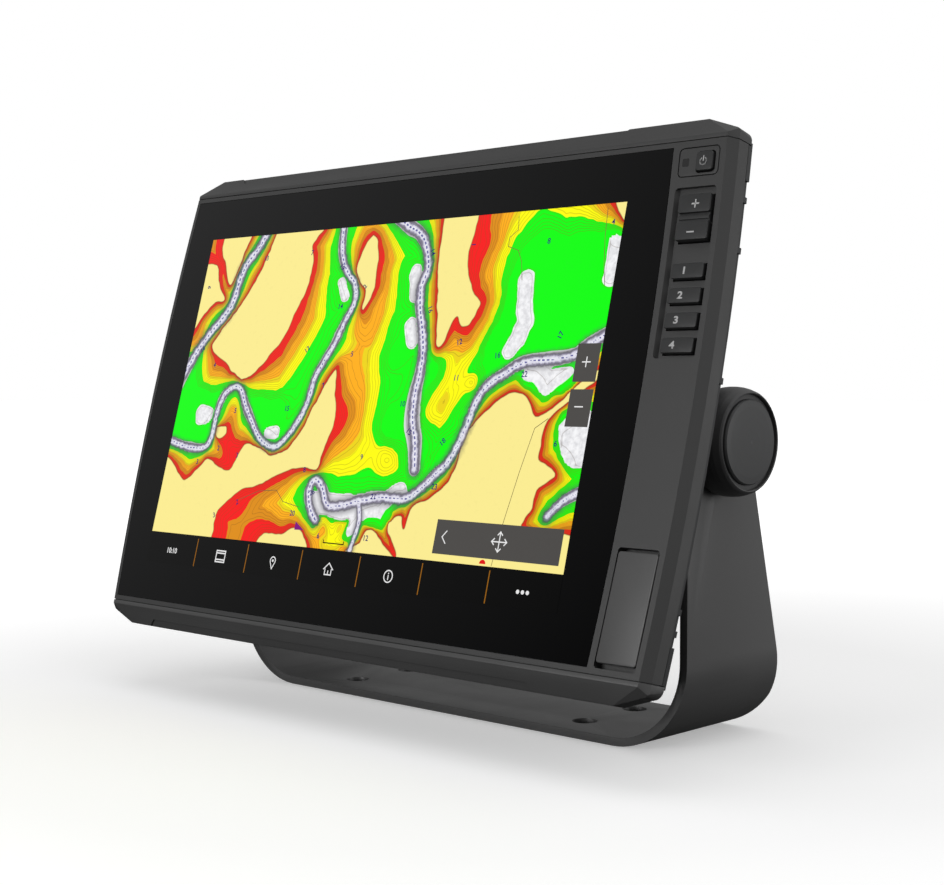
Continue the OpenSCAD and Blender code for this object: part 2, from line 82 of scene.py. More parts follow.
def shade(colour, factor):
    """The colour made darker or lighter, at most 1 in each channel."""
    return tuple(min(1, c * factor) for c in colour[:3]) + (1,)


class Tree:
    """Short names for the nodes of one material."""

    def __init__(self, name):
        self.mat = bpy.data.materials.new(name)
        self.mat.use_nodes = True
        self.nt = self.mat.node_tree
        self.bsdf = self.nt.nodes["Principled BSDF"]

    def node(self, kind, **props):
        n = self.nt.nodes.new("ShaderNode" + kind)
        for k, v in props.items():
            setattr(n, k, v)
        return n

    def put(self, socket, value):
        if hasattr(value, "is_linked"):
            self.nt.links.new(value, socket)
        else:
            socket.default_value = value

    def set(self, **values):
        for k, v in values.items():
            self.put(self.bsdf.inputs[k.replace("_", " ")], v)

    def lit(self, colour, strength):
        """A part of the display that gives its own light."""
        self.set(
            Base_Color=grey(0), Emission_Color=colour, Emission_Strength=strength,
            Roughness=0.1, Specular_IOR_Level=0.2,
        )

    def math(self, op, a, b=0.0):
        n = self.node("Math", operation=op)
        self.put(n.inputs[0], a)
        self.put(n.inputs[1], b)
        return n.outputs[0]

    def span(self, value, lo, hi, out_lo, out_hi):
        n = self.node("MapRange", clamp=True)
        for i, v in enumerate((value, lo, hi, out_lo, out_hi)):
            self.put(n.inputs[i], v)
        return n.outputs[0]

    def mix(self, fac, a, b):
        n = self.node("Mix", data_type="RGBA")
        self.put(n.inputs[0], fac)
        self.put(n.inputs[6], a)
        self.put(n.inputs[7], b)
        return n.outputs[2]

    def ramp(self, fac, stops, interpolation="LINEAR"):
        """Colour ramp from (position, colour) stops."""
        n = self.node("ValToRGB")
        self.put(n.inputs[0], fac)
        cr = n.color_ramp
        cr.interpolation = interpolation
        while len(cr.elements) < len(stops):
            cr.elements.new(1)
        for e, (pos, colour) in zip(cr.elements, stops):
            e.position, e.color = pos, colour
        return n.outputs[0]

    def coords(self, scale=(1, 1, 1)):
        tex = self.node("TexCoord").outputs["Object"]
        m = self.node("Mapping")
        m.inputs["Scale"].default_value = scale
        self.put(m.inputs[0], tex)
        return m.outputs[0]

    def noise(self, scale, detail=2.0, rough=0.5, stretch=(1, 1, 1)):
        n = self.node("TexNoise")
        self.put(n.inputs["Vector"], self.coords(stretch))
        n.inputs["Scale"].default_value = scale
        n.inputs["Detail"].default_value = detail
        n.inputs["Roughness"].default_value = rough
        return n.outputs[0]

    def attribute(self, name):
        return self.node("Attribute", attribute_name=name).outputs["Fac"]

    def bump(self, height, depth):
        n = self.node("Bump")
        n.inputs["Strength"].default_value = 1.0
        n.inputs["Distance"].default_value = depth
        self.put(n.inputs["Height"], height)
        return n.outputs[0]


def moulded(name, colour, rough, grain=0.35, depth=0.00002, spread=0.06):
    """Textured moulding or powder coat: spark grain of the given size in mm, faint mottling."""
    t = Tree(name)
    fine = t.noise(1 / (grain * MM), 2.0, 0.6)
    broad = t.noise(38, 3.0, 0.55)
    mottle = t.math("ADD", t.math("MULTIPLY", fine, 0.5), t.math("MULTIPLY", broad, 0.5))
    t.set(
        Base_Color=t.mix(mottle, shade(colour, 1 - spread), shade(colour, 1 + spread)),
        Roughness=t.span(broad, 0.3, 0.7, rough - 0.04, rough + 0.04),
        Specular_IOR_Level=0.5,
        Normal=t.bump(fine, depth),
    )
    return t.mat


def metal(name, colour, rough, stretch=(1, 1, 1), scale=900):
    """Machined or drawn metal with fine lines along one direction."""
    t = Tree(name)
    lines = t.noise(scale, 3.0, 0.6, stretch)
    t.set(
        Base_Color=t.mix(lines, shade(colour, 0.85), colour),
        Metallic=1.0,
        Roughness=t.span(lines, 0.3, 0.7, rough - 0.06, rough + 0.08),
        Normal=t.bump(lines, 0.00001),
    )
    return t.mat


def ink(name, colour, glow=0.0, rough=0.45):
    """Printed mark or a lit element of the display, very slightly uneven."""
    t = Tree(name)
    tint = t.mix(t.noise(700, 2.0), shade(colour, 0.94), colour)
    if glow:
        t.lit(tint, glow)
    else:
        t.set(Base_Color=tint, Roughness=rough)
    return t.mat


def glass_black():
    """Cover glass, black behind, with faint smears in its gloss."""
    t = Tree("cover_glass_printed")
    smear = t.noise(14, 4.0, 0.6)
    t.set(
        Base_Color=(0.0012, 0.0012, 0.0014, 1),
        Roughness=t.span(smear, 0.3, 0.75, 0.05, 0.12),
        Specular_IOR_Level=0.22,
    )
    return t.mat


POOL_DEPTH = 0.93


def chart_material():
    """Depth-shaded chart: bands, contour lines and river beds, from values stored on the mesh."""
    t = Tree("chart_display")
    depth, slope = t.attribute("depth"), t.attribute("slope")
    river, run = t.attribute("river"), t.attribute("run")
    mottle = t.noise(420, 3.0, 0.6)
    # depth 0 is the shore; land is below it
    inland, deepest = -0.2, 1.05
    bands = (
        (inland, srgb(251, 236, 146)), (0.0, srgb(247, 26, 26)), (0.21, srgb(222, 142, 20)),
        (0.33, srgb(255, 176, 24)), (0.47, srgb(238, 214, 20)), (0.53, srgb(255, 252, 4)),
        (0.68, srgb(10, 252, 12)), (POOL_DEPTH, srgb(250, 250, 252)),
    )
    stops = [((d - inland) / (deepest - inland), colour) for d, colour in bands]
    band = t.ramp(t.span(depth, inland, deepest, 0.0, 1.0), stops, "CONSTANT")
    # relief shading of the white pools
    deep = t.math("GREATER_THAN", depth, POOL_DEPTH)
    relief = t.span(mottle, 0.35, 0.65, 0.0, 0.38)
    band = t.mix(t.math("MULTIPLY", deep, relief), band, srgb(150, 150, 158))
    # contour lines of even width
    steps = 26.0
    level = t.math("PINGPONG", t.math("MULTIPLY", depth, steps), 0.5)
    away = t.math("DIVIDE", level, t.math("MULTIPLY", slope, steps))
    line = t.math("MULTIPLY", t.span(away, 0.03, 0.26, 0.42, 0.0), t.math("GREATER_THAN", depth, 0.02))
    band = t.mix(line, band, srgb(96, 70, 20))
    # shore line
    shore = t.math("DIVIDE", t.math("ABSOLUTE", depth), slope)
    band = t.mix(t.span(shore, 0.1, 0.45, 0.6, 0.0), band, srgb(70, 30, 10))
    # river: pale bed, dark banks, fading out
    bank = t.math("ADD", river, t.span(mottle, 0.35, 0.65, -0.07, 0.07))
    bed = t.ramp(bank, [
        (0.0, srgb(240, 240, 248)), (0.17, srgb(216, 214, 230)),
        (0.27, srgb(128, 122, 146)), (0.42, srgb(70, 66, 80)),
    ])
    cover = t.ramp(bank, [(0.0, grey(1)), (0.40, grey(0.9)), (0.56, grey(0.45)), (0.95, grey(0))])
    band = t.mix(cover, band, bed)
    # dashed line along the middle of the river
    on_dash = t.math("LESS_THAN", t.math("FRACT", t.math("MULTIPLY", run, 0.42)), 0.6)
    dash = t.math("MULTIPLY", t.math("LESS_THAN", river, 0.075), on_dash)
    band = t.mix(t.math("MULTIPLY", dash, 0.85), band, srgb(40, 36, 140))
    t.lit(band, 1.0)
    return t.mat


def floor_material():
    """Pale glowing floor, its glow weaker near the object as a painted shadow round it, turning white away from
    it.
    """
    t = Tree("studio_floor")
    soft = t.noise(3, 2.0)
    reach = t.node("VectorMath", operation="LENGTH")
    t.put(reach.inputs[0], t.coords())
    t.set(
        Base_Color=t.mix(soft, grey(0.86), grey(0.88)),
        Roughness=0.75,
        Specular_IOR_Level=0.0,
        Emission_Color=grey(1),
        # painted shadow: the floor glows less near the object, so it is darker round it
        Emission_Strength=t.span(reach.outputs["Value"], 0.25, 0.9, 0.34, 0.78),
    )
    return t.mat


def plain(name, colour, rough=0.5):
    """Moulded or sintered part of the inside."""
    return moulded(name, colour, rough, 0.6, 0.00001, 0.04)


FRAME = moulded("frame_plastic", grey(0.038), 0.46, 0.3)
TRIM = moulded("trim_plastic", grey(0.043), 0.42, 0.3)
KEYS = moulded("key_rubber", (0.018, 0.0185, 0.019, 1), 0.42, 0.2, 0.00001)
HOUSING = moulded("housing_coat", (0.026, 0.027, 0.028, 1), 0.5, 0.7, 0.00005)
BRACKET = moulded("bracket_coat", grey(0.080), 0.42, 0.6, 0.00004)
KNOB = moulded("knob_plastic", (0.058, 0.058, 0.059, 1), 0.4, 0.35)
KNOB_CAP = moulded("knob_cap_plastic", (0.054, 0.055, 0.056, 1), 0.38, 0.35)
DOOR = moulded("door_plastic", grey(0.063), 0.4, 0.3)
RUBBER = moulded("black_rubber", grey(0.012), 0.7, 0.5, 0.00003)
STEEL = metal("stainless", (0.55, 0.55, 0.54, 1), 0.32)
ALU = metal("plain_sheet", (0.62, 0.63, 0.64, 1), 0.36, (1, 1, 12), 400)
BOARD = moulded("circuit_laminate", (0.012, 0.075, 0.035, 1), 0.32, 0.9, 0.00004, 0.25)
# the bottom trim cap is the same plastic as the top one, made lighter as painted light on its shaded,
# down-facing surface
TRIM_PAINTED_LIGHT = moulded("trim_plastic_painted_light", grey(0.066), 0.38, 0.3)
GLASS = glass_black()
FINISH = {
    "front_frame": FRAME, "power_panel": FRAME, "card_door": DOOR,
    "top_trim_cap": TRIM, "bottom_trim_cap": TRIM_PAINTED_LIGHT, "cover_glass": GLASS,
    "light_sensor": ink("sensor_lens", (0.004, 0.004, 0.005, 1), rough=0.08),
    "power_key": KEYS, "zoom_rocker": KEYS, "key_1": KEYS, "key_2": KEYS, "key_3": KEYS, "key_4": KEYS,
    "keypad_membrane": moulded("silicone_sheet", (0.07, 0.07, 0.075, 1), 0.6, 0.5),
    "card_door_seal": RUBBER, "housing_gasket": RUBBER, "vent_plug": RUBBER,
    "rear_housing": HOUSING, "bail_bracket": BRACKET,
    "knob_right": KNOB, "knob_left": KNOB, "knob_cap_right": KNOB_CAP, "knob_cap_left": KNOB_CAP,
    "power_connector": RUBBER, "bus_connector": RUBBER, "network_connectors": RUBBER, "sonar_connector": RUBBER,
    "rocker_pin": STEEL, "card_door_pin": STEEL, "housing_screws": STEEL, "board_screws": STEEL,
    "chassis_screws": STEEL, "washer_right": STEEL, "washer_left": STEEL, "knob_stud_right": STEEL,
    "knob_stud_left": STEEL, "clock_battery": STEEL, "display_chassis": ALU, "heat_spreader": ALU,
    "pivot_inserts": metal("brass_insert", (0.72, 0.5, 0.2, 1), 0.3),
    "main_board": BOARD, "power_board": BOARD, "keypad_board": BOARD,
    "lcd_panel": plain("display_cell", (0.02, 0.03, 0.035, 1), 0.15),
    "backlight": plain("backlight_case", (0.6, 0.61, 0.62, 1)),
    "key_switches": plain("switch_case", (0.45, 0.45, 0.46, 1)),
    "card_reader": plain("reader_case", (0.3, 0.3, 0.31, 1)),
    "processor": plain("chip_case", (0.015, 0.015, 0.016, 1), 0.35),
    "gps_antenna": plain("antenna_ceramic", (0.55, 0.5, 0.38, 1)),
    "friction_washers": plain("fibre_washer", (0.22, 0.13, 0.05, 1), 0.7),
}
for name, obj in nodes.items():
    slots = obj.data.materials
    if not slots:
        slots.append(FINISH[name])
    for i in range(len(slots)):
        slots[i] = FINISH[name]


def soften(name, width, angle):
    """Rounds the edges of a CAD node sharper than the angle in degrees, by modifiers; width in mm."""
    obj = nodes[name]
    weld = obj.modifiers.new("weld", "WELD")
    weld.merge_threshold = 0.000002
    flat = obj.modifiers.new("flat", "DECIMATE")
    flat.decimate_type = "DISSOLVE"
    flat.angle_limit = math.radians(0.3)
    round_ = obj.modifiers.new("round", "BEVEL")
    round_.width = width * MM
    round_.segments = 3
    round_.limit_method = "ANGLE"
    round_.angle_limit = math.radians(angle)
    round_.harden_normals = True
    for poly in obj.data.polygons:
        poly.use_smooth = True


soften("bail_bracket", 0.5, 40)
soften("top_trim_cap", 0.6, 12)
soften("bottom_trim_cap", 0.6, 12)


# ---------------------------------------------------------------- pieces
def piece(name, verts, faces, mat, body="head", place=FACE, smooth=False):
    """Mesh piece from points in mm in the given place, riding on a body."""
    mesh = bpy.data.meshes.new(name)
    mesh.from_pydata([place @ Vector(v) for v in verts], [], faces)
    mesh.materials.append(mat)
    mesh.update()
    if smooth:
        mesh.shade_smooth()
    obj = bpy.data.objects.new(name, mesh)
    scene.collection.objects.link(obj)
    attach(obj, body)
    return obj


def plate(name, outline, lift, mat, body="head", place=FACE, thick=0.03):
    """Thin plate from an outline, its front face lifted above the plane."""
    n = len(outline)
    verts = [(x, y, lift) for x, y in outline] + [(x, y, lift - thick) for x, y in outline]
    faces = [tuple(range(n)), tuple(reversed(range(n, 2 * n)))]
    faces += [(i, n + i, n + (i + 1) % n, (i + 1) % n) for i in range(n)]
    return piece(name, verts, faces, mat, body, place)


def rect(x0, y0, x1, y1):
    return [(x0, y0), (x1, y0), (x1, y1), (x0, y1)]


def strokes(name, paths, width, lift, mat, body="head", place=FACE):
    """Line artwork: each path becomes a row of quads of an even width."""
    verts, faces = [], []
    for path in paths:
        for (x0, y0), (x1, y1) in zip(path, path[1:]):
            d = Vector((x1 - x0, y1 - y0)).normalized() * width / 2
            k = len(verts)
            verts += [
                (x0 - d.x + d.y, y0 - d.y - d.x, lift), (x1 + d.x + d.y, y1 + d.y - d.x, lift),
                (x1 + d.x - d.y, y1 + d.y + d.x, lift), (x0 - d.x - d.y, y0 - d.y + d.x, lift),
            ]
            faces.append((k, k + 1, k + 2, k + 3))
    return piece(name, verts, faces, mat, body, place)


def arc(cx, cy, r, a0, a1, n=28):
    turns = [math.radians(a0 + (a1 - a0) * i / n) for i in range(n + 1)]
    return [(cx + r * math.cos(a), cy + r * math.sin(a)) for a in turns]


def figures(name, text, size, x, y, lift, mat, body="head", place=FACE, turn=0.0, bold=0.0, wide=1.0):
    """Numbers or signs as flat meshes, centred on a point."""
    curve = bpy.data.curves.new(name, "FONT")
    curve.body = text
    curve.size = size
    curve.align_x = "CENTER"
    curve.align_y = "CENTER"
    curve.offset = bold
    curve.resolution_u = 4
    source = bpy.data.objects.new(name, curve)
    scene.collection.objects.link(source)
    bpy.context.view_layer.update()
    mesh = bpy.data.meshes.new_from_object(source.evaluated_get(bpy.context.evaluated_depsgraph_get()))
    bpy.data.objects.remove(source)
    spot = Matrix.Translation((x, y, lift)) @ Matrix.Rotation(math.radians(turn), 4, "Z")
    mesh.transform(place @ (spot @ Matrix.Diagonal((wide, 1, 1, 1))))
    mesh.materials.clear()
    mesh.materials.append(mat)
    obj = bpy.data.objects.new(name, mesh)
    scene.collection.objects.link(obj)
    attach(obj, body)
    return obj


# ---------------------------------------------------------------- keys, panel and door
FACE_HW = 165.5  # half width of the face at mid-height
BOW = 1367  # radius of its bowed right edge
SEAM_Z = 103.2
KEY_TOP, KEY_STEP, KEY_H = 53.5, 9.67, 6


def edge_x(inset, z):
    """Where a line parallel to the bowed right edge of the face crosses height z."""
    return FACE_HW - inset - (BOW - math.sqrt(BOW ** 2 - z * z))


def rounded(inner, outer, z0, z1, r, steps=5):
    """Outline between two insets from the right edge, its corners rounded."""
    w = inner - outer
    out = []
    for cs, cz, a0 in ((w - r, z1 - r, 0), (r, z1 - r, 90), (r, z0 + r, 180), (w - r, z0 + r, 270)):
        for k in range(steps + 1):
            a = math.radians(a0 + 90 * k / steps)
            z = cz + r * math.sin(a)
            out.append((edge_x(inner, z) + cs + r * math.cos(a), z))
    return out


def tile(name, inner, outer, z0, z1, r, profile, mat, body="head", hole=None):
    """Moulded cap: the outline is carried through (height above the face, inset) rings."""
    rings = [
        [(x, z, h) for x, z in rounded(inner - i, outer + i, z0 + i, z1 - i, max(r - i, 0.1))]
        for h, i in profile
    ]
    if hole:
        rings += [[(x, z, h) for x, z in rounded(*hole)] for h in (profile[-1][0], profile[0][0])]
    n = len(rings[0])
    faces = [
        (k * n + i, k * n + (i + 1) % n, (k + 1) * n + (i + 1) % n, (k + 1) * n + i)
        for k in range(len(rings) - 1) for i in range(n)
    ]
    if hole:
        k = len(rings) - 1
        faces += [(k * n + i, k * n + (i + 1) % n, (i + 1) % n, i) for i in range(n)]
    else:
        faces += [tuple(range((len(rings) - 1) * n, len(rings) * n)), tuple(reversed(range(n)))]
    obj = piece(name, [v for ring in rings for v in ring], faces, mat, body, smooth=True)
    obj.data.set_sharp_from_angle(angle=math.radians(32))
    return obj


def round_over(top, r, back, steps=4):
    """Rings of a straight wall that ends in a quarter-round edge."""
    turns = [math.pi / 2 * k / steps for k in range(steps + 1)]
    return [(back, 0)] + [(top - r + r * math.sin(a), r - r * math.cos(a)) for a in turns]


def fillets(name, inner, outer, z0, z1, r, front, back, mat):
    """Four prisms that round the inside corners of a pocket in the face."""
    verts, faces = [], []
    turns = [math.pi / 2 * k / 5 for k in range(6)]
    for s0, ds in ((0, 1), (inner - outer, -1)):
        for zc, dz in ((z0, 1), (z1, -1)):
            flat = [(0, 0)] + [(r - r * math.sin(a), r - r * math.cos(a)) for a in turns]
            if ds * dz < 0:
                flat.reverse()
            k, n = len(verts), len(flat)
            for h in (front, back):
                verts += [(edge_x(inner, zc + dz * q) + s0 + ds * p, zc + dz * q, h) for p, q in flat]
            faces += [tuple(range(k, k + n)), tuple(reversed(range(k + n, k + 2 * n)))]
            faces += [(k + i, k + n + i, k + n + (i + 1) % n, k + (i + 1) % n) for i in range(n)]
    return piece(name, verts, faces, mat)


# dark strips in the seams between the frame and the trim caps: they close the gaps so nothing shows through,
# and their dark colour is painted shade for the shadow in the gaps
for name, z in (("top", SEAM_Z), ("bottom", -SEAM_Z)):
    side = [(161.7, 0.8), (164.1, 3.9), (164.7, 9.2)]
    ring = [(-x, -y) for x, y in side] + [(x, -y) for x, y in reversed(side)]
    place = HEAD @ Matrix.Translation((0, 0, z)) @ Matrix.Diagonal((1, -1, 1, 1))
    plate(f"seam_shade_strip_{name}", ring, 0.3, RUBBER, place=place, thick=0.6)

for i in range(4):
    top = KEY_TOP - KEY_STEP * i
    profile = round_over(0.7, 0.4, -3.3)
    cap = tile(f"key_cap_{i + 1}", 18.3, 3.6, top - KEY_H, top, 0.9, profile, KEYS, f"key_{i + 1}")
    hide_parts(f"key_{i + 1}")
cap = tile("rocker_cap_plus", 18.3, 3.6, 73.2, 80.7, 0.9, round_over(1.5, 0.4, -3), KEYS, "rocker")
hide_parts("zoom_rocker")
tile("rocker_cap_minus", 18.3, 3.6, 62.4, 69.9, 0.9, round_over(1.5, 0.4, -3), KEYS, "rocker")
tile("rocker_saddle", 18.1, 3.8, 66, 77, 0.4, round_over(0.4, 0.3, -3), KEYS, "rocker")
tile("rocker_ridge", 18.0, 3.9, 70.7, 72.4, 0.3, round_over(0.85, 0.25, 0), KEYS, "rocker")
cap = tile("power_cap", 12.7, 4.9, 90, 97.8, 1.3, round_over(1.2, 0.5, -3.3), KEYS, "power_key")
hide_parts("power_key")
opening = (13.2, 4.4, 89.5, 98.3, 1.6)
cap = tile("panel_plate", 21.1, 3, 88.6, 99.9, 1.7, round_over(0, 0.15, -1.3, 3), FRAME, hole=opening)
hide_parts("power_panel")
fillets("panel_corners", 21.5, 2.6, 88.2, 100.3, 2.1, 0, -1.4, FRAME)
fillets("recess_corners", 21.7, 2.5, 16.6, 84.1, 1.8, 0, -1.8, FRAME)
door = tile("door_cap", 21.3, 2.9, -98.6, -56.9, 1.2, round_over(0, 0.35, -2.4), DOOR, "card_door")
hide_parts("card_door")
fillets("door_corners", 21.7, 2.5, -100.7, -55.5, 1.5, 0, -4.6, FRAME)

# ---------------------------------------------------------------- chart
# Land and river lines, drawn in mm across and down from the map's upper left corner
LANDS = [
    [(50, -3), (43, 17), (35, 32), (27, 41), (20, 50), (17, 56), (27, 62), (38, 69), (46, 72), (55, 67),
     (63, 60), (70, 50), (75, 40), (79, 28), (80, 15), (77, 8), (80, 3), (83, -3)],
    [(9, -3), (30, -3), (27, 8), (24, 20), (20, 24), (14, 14), (9, 6)],
    [(-3, 12), (7, 14), (13, 24), (19, 32), (12, 33), (5, 39), (-3, 47)],
    [(118, 5), (122, 8), (125, 20), (125, 30), (122, 38), (120, 40), (119.6, 31), (115, 27), (111, 20),
     (113, 10)],
    [(111, 67), (113, 80), (116, 88), (114, 100), (112, 108), (110, 113), (100, 113), (88, 116), (75, 121),
     (62, 125), (52, 131), (46, 138), (43, 152), (-3, 152), (-3, 113), (10, 118), (18, 122), (24, 117),
     (32, 111), (40, 115), (50, 116), (54, 108), (58, 103), (68, 105), (78, 108), (88, 105), (96, 94),
     (101, 83), (106, 73)],
    [(161, -3), (180, -3), (181, 8), (180, 18), (183, 28), (187, 35), (192, 38), (191, 42), (188, 48),
     (183, 49), (180, 45), (177, 50), (175, 56), (171, 57), (169, 50), (167, 40), (164, 28), (162, 15)],
    [(196, 95), (205, 87), (213, 80), (222, 77.5), (228, 80), (233, 87), (241, 84), (250, 76), (264, 66),
     (264, 70), (250, 80), (241, 88), (238.5, 93), (239, 99), (238, 104), (244, 107), (249, 110), (246, 113),
     (241, 117), (240, 124), (237, 133), (264, 134), (264, 152), (146, 152), (147, 144), (150, 138.5),
     (154, 138), (158, 141), (164, 146), (170, 149), (167, 143), (163, 139), (162, 134), (168, 130.5),
     (172, 137), (173, 129), (178, 125), (186, 121), (192, 115), (195, 106)],
    [(254, -3), (264, -3), (264, 9), (258, 4)],
    [(34, 96), (40, 95), (42, 98), (38, 101), (34, 100)],
    [(78, 152), (83, 144), (95, 143.5), (103, 140), (110, 143), (112, 152)],
]
# each river is its half width and its points
RIVERS = [
    (2.6, [(44, -5), (38, 6), (31, 14), (28, 22), (26, 34), (20, 42), (12, 50), (6, 58), (1, 66), (-5, 76)]),
    (1.8, [(-5, 102), (5, 104.5), (15, 106), (27, 106), (31, 100), (31.5, 88), (34, 80), (40, 76), (46, 77),
           (52, 85), (60, 94), (68, 101), (77, 104), (83, 102), (90, 94), (95, 84), (97, 72), (101, 64),
           (106, 55), (110, 45), (114, 36), (112, 28), (106, 22), (101, 16), (98, 8), (96, -5)]),
    (2.3, [(128, -5), (140, 2), (148, 6), (154, 13), (157, 22), (155, 30), (156, 38), (160, 48), (163, 58),
           (164, 68), (163.5, 80), (165, 90), (169, 100), (171.5, 111)]),
    (2.1, [(266, 52), (254, 58), (248, 62), (235, 64), (222, 65), (212, 70), (203, 76), (199, 84), (196, 94),
           (191, 106), (184, 113), (176, 120), (168, 124), (155, 124), (143, 126), (130, 129), (122, 129),
           (117, 122), (111, 118), (108, 123), (111, 131), (116, 136)]),
    (1.4, [(142, 128), (144, 136), (142, 146), (141, 152)]),
    (1.8, [(266, 115), (255, 120), (248, 127)]),
]
# deep pools: radius and centre line
POOLS = [
    (2.6, [(215, 30), (216, 40), (219, 48), (216, 56), (213, 60)]), (5.0, [(228, 70), (237, 74), (246, 72)]),
    (8.0, [(254, 90), (257, 99)]), (4.6, [(113, 128), (125, 129), (140, 130), (155, 128), (165, 122)]),
    (6.5, [(148, 129), (156, 131)]), (3.4, [(142, 132), (141, 140)]), (3.6, [(20, 90), (25, 90)]),
    (2.6, [(72, 98), (77, 97)]), (2.4, [(103, 26), (107, 33)]), (3.0, [(153, 48), (156, 55)]),
    (3.0, [(259, 16), (260, 30)]), (3.0, [(150, 24), (153, 34)]),
]
# rises and hollows of the bed: centre, reach and share by which they lift it, or sink it where negative
RISES = [
    (183, 80, 9, 0.2), (174, 86, 7, 0.2), (118, 90, 8, 0.5), (188, 14, 10, 0.45), (44, 87, 6, 0.35),
    (24, 66, 9, 0.2), (138, 112, 13, 0.08), (155, 108, 8, 0.25), (121, 139, 6, 0.4), (133, 137, 5, 0.35),
    (66, 138, 12, 0.35), (45, 104, 9, 0.6), (52, 110, 8, 0.5), (8, 112, 8, 0.3), (196, 73, 5, 0.3),
    (122, 50, 11, 0.3), (146, 72, 9, -0.1), (140, 90, 10, -0.12), (172, 66, 8, -0.5), (178, 60, 6, -0.3),
    (5, 52, 8, 0.5), (10, 88, 17, -0.6), (238, 28, 24, -0.8), (205, 55, 13, -0.45), (228, 48, 16, -0.8),
    (152, 92, 8, -0.3), (148, 62, 7, -0.3), (76, 86, 12, -0.35), (62, 84, 7, -0.3), (186, 100, 9, -0.3),
    (190, 88, 7, -0.2), (112, 126, 8, -0.3), (28, 92, 8, -0.4),
]


def smooth_line(points, per=6):
    """Catmull-Rom curve through the given points."""
    p = [points[0], *points, points[-1]]
    out = []
    for a, b, c, d in zip(p, p[1:], p[2:], p[3:]):
        for k in range(per):
            t = k / per
            out.append(tuple(
                0.5 * (2 * b[i] + (c[i] - a[i]) * t + (2 * a[i] - 5 * b[i] + 4 * c[i] - d[i]) * t * t
                       + (3 * b[i] - a[i] - 3 * c[i] + d[i]) * t ** 3)
                for i in (0, 1)
            ))
    return out + [points[-1]]


def distance(px, py, line):
    """Distance from each point to an open line, and how far along the line its nearest point lies."""
    best = np.full(px.shape, 1e9)
    run = np.zeros(px.shape)
    start = 0.0
    for (x0, y0), (x1, y1) in zip(line, line[1:]):
        dx, dy = x1 - x0, y1 - y0
        length = math.hypot(dx, dy) or 1e-9
        t = np.clip(((px - x0) * dx + (py - y0) * dy) / length ** 2, 0, 1)
        d = np.hypot(px - x0 - t * dx, py - y0 - t * dy)
        closer = d < best
        best = np.where(closer, d, best)
        run = np.where(closer, start + t * length, run)
        start += length
    return best, run


def inside(px, py, polygon):
    """Whether each point lies in the polygon, by counting the edges crossed."""
    hit = np.zeros(px.shape, bool)
    for (x0, y0), (x1, y1) in zip(polygon, polygon[1:] + polygon[:1]):
        if y0 != y1:
            hit ^= ((y0 > py) != (y1 > py)) & (px < (x1 - x0) * (py - y0) / (y1 - y0) + x0)
    return hit


def wobble(x, y, z):
    """Shore wobble in mm at a point, in two sizes; z picks one of two unlike fields."""
    sizes = ((0.11, 3.1, 0.9), (0.32, 7.7, 0.45))
    return [noise.noise(Vector((x * s, y * s, z + dz))) * a for s, dz, a in sizes]


def chart():
    """Chart mesh with its depth, slope and rivers stored as attributes for chart_material."""
    nx, ny = 300, 170
    gx, gy = np.meshgrid(np.linspace(0, LIT_W, nx), np.linspace(0, MAP_H, ny))
    wob = np.array([wobble(x, y, 0) + wobble(x, y, 10) for x, y in zip(gx.ravel(), gy.ravel())])
    px = gx + (wob[:, 0] + wob[:, 1]).reshape(gx.shape)
    py = gy + (wob[:, 2] + wob[:, 3]).reshape(gx.shape)
    to_land = np.full(gx.shape, 1e9)
    for land in LANDS:
        line = smooth_line(land + land[:1], 4)
        d, _ = distance(px, py, line)
        to_land = np.minimum(to_land, np.where(inside(px, py, line), -d, d))
    to_deep = np.full(gx.shape, 1e9)
    near, run = np.full(gx.shape, 9.0), np.zeros(gx.shape)
    for half, points in RIVERS:
        # the bed itself keeps a smoother line than the shores
        qx, qy = gx + 0.35 * (px - gx), gy + 0.35 * (py - gy)
        d, along = distance(qx, qy, smooth_line(points))
        to_deep = np.minimum(to_deep, np.maximum(d - half, 0))
        closer = d / half < near
        near, run = np.where(closer, d / half, near), np.where(closer, along, run)
    for radius, points in POOLS:
        d, _ = distance(px, py, points)
        to_deep = np.minimum(to_deep, np.maximum(d - radius, 0))
    depth = to_land / (np.abs(to_land) + 0.75 * to_deep + 0.4)
    lift = np.ones(gx.shape)
    for x, y, reach, share in RISES:
        lift -= share * np.exp(-((px - x) ** 2 + (py - y) ** 2) / reach ** 2)
    # rises leave the pools alone and never make a new one
    depth = np.where(depth < 0.92, np.minimum(depth * np.maximum(lift, 0.05), 0.915), depth)
    sy, sx = np.gradient(depth, MAP_H / (ny - 1), LIT_W / (nx - 1))
    verts = [(x, LIT_H - y, 0.09) for x, y in zip(gx.ravel(), gy.ravel())]
    faces = [
        (j * nx + i, (j + 1) * nx + i, (j + 1) * nx + i + 1, j * nx + i + 1)
        for j in range(ny - 1) for i in range(nx - 1)
    ]
    obj = piece("chart", verts, faces, chart_material(), place=LIT)
    river = np.clip(near / 2.6, 0, 1)
    values = {"depth": depth, "slope": np.hypot(sx, sy) + 1e-4, "river": river, "run": run}
    for key, value in values.items():
        stored = obj.data.attributes.new(key, "FLOAT", "POINT").data
        stored.foreach_set("value", value.ravel().astype(np.float32))


chart()

# ---------------------------------------------------------------- display artwork
WHITE = ink("lit_white", srgb(235, 235, 235), 1.0)
NAVY = ink("lit_navy", srgb(34, 30, 110), 1.0)
GREY = ink("lit_grey_button", srgb(78, 76, 74), 1.0)
AMBER = ink("lit_amber", srgb(150, 96, 20), 1.0)
BLACK = ink("lit_black", srgb(4, 4, 4), 1.0)
PURPLE = ink("lit_purple", srgb(128, 20, 130), 1.0)
RED = ink("lit_red", srgb(226, 20, 20), 1.0)

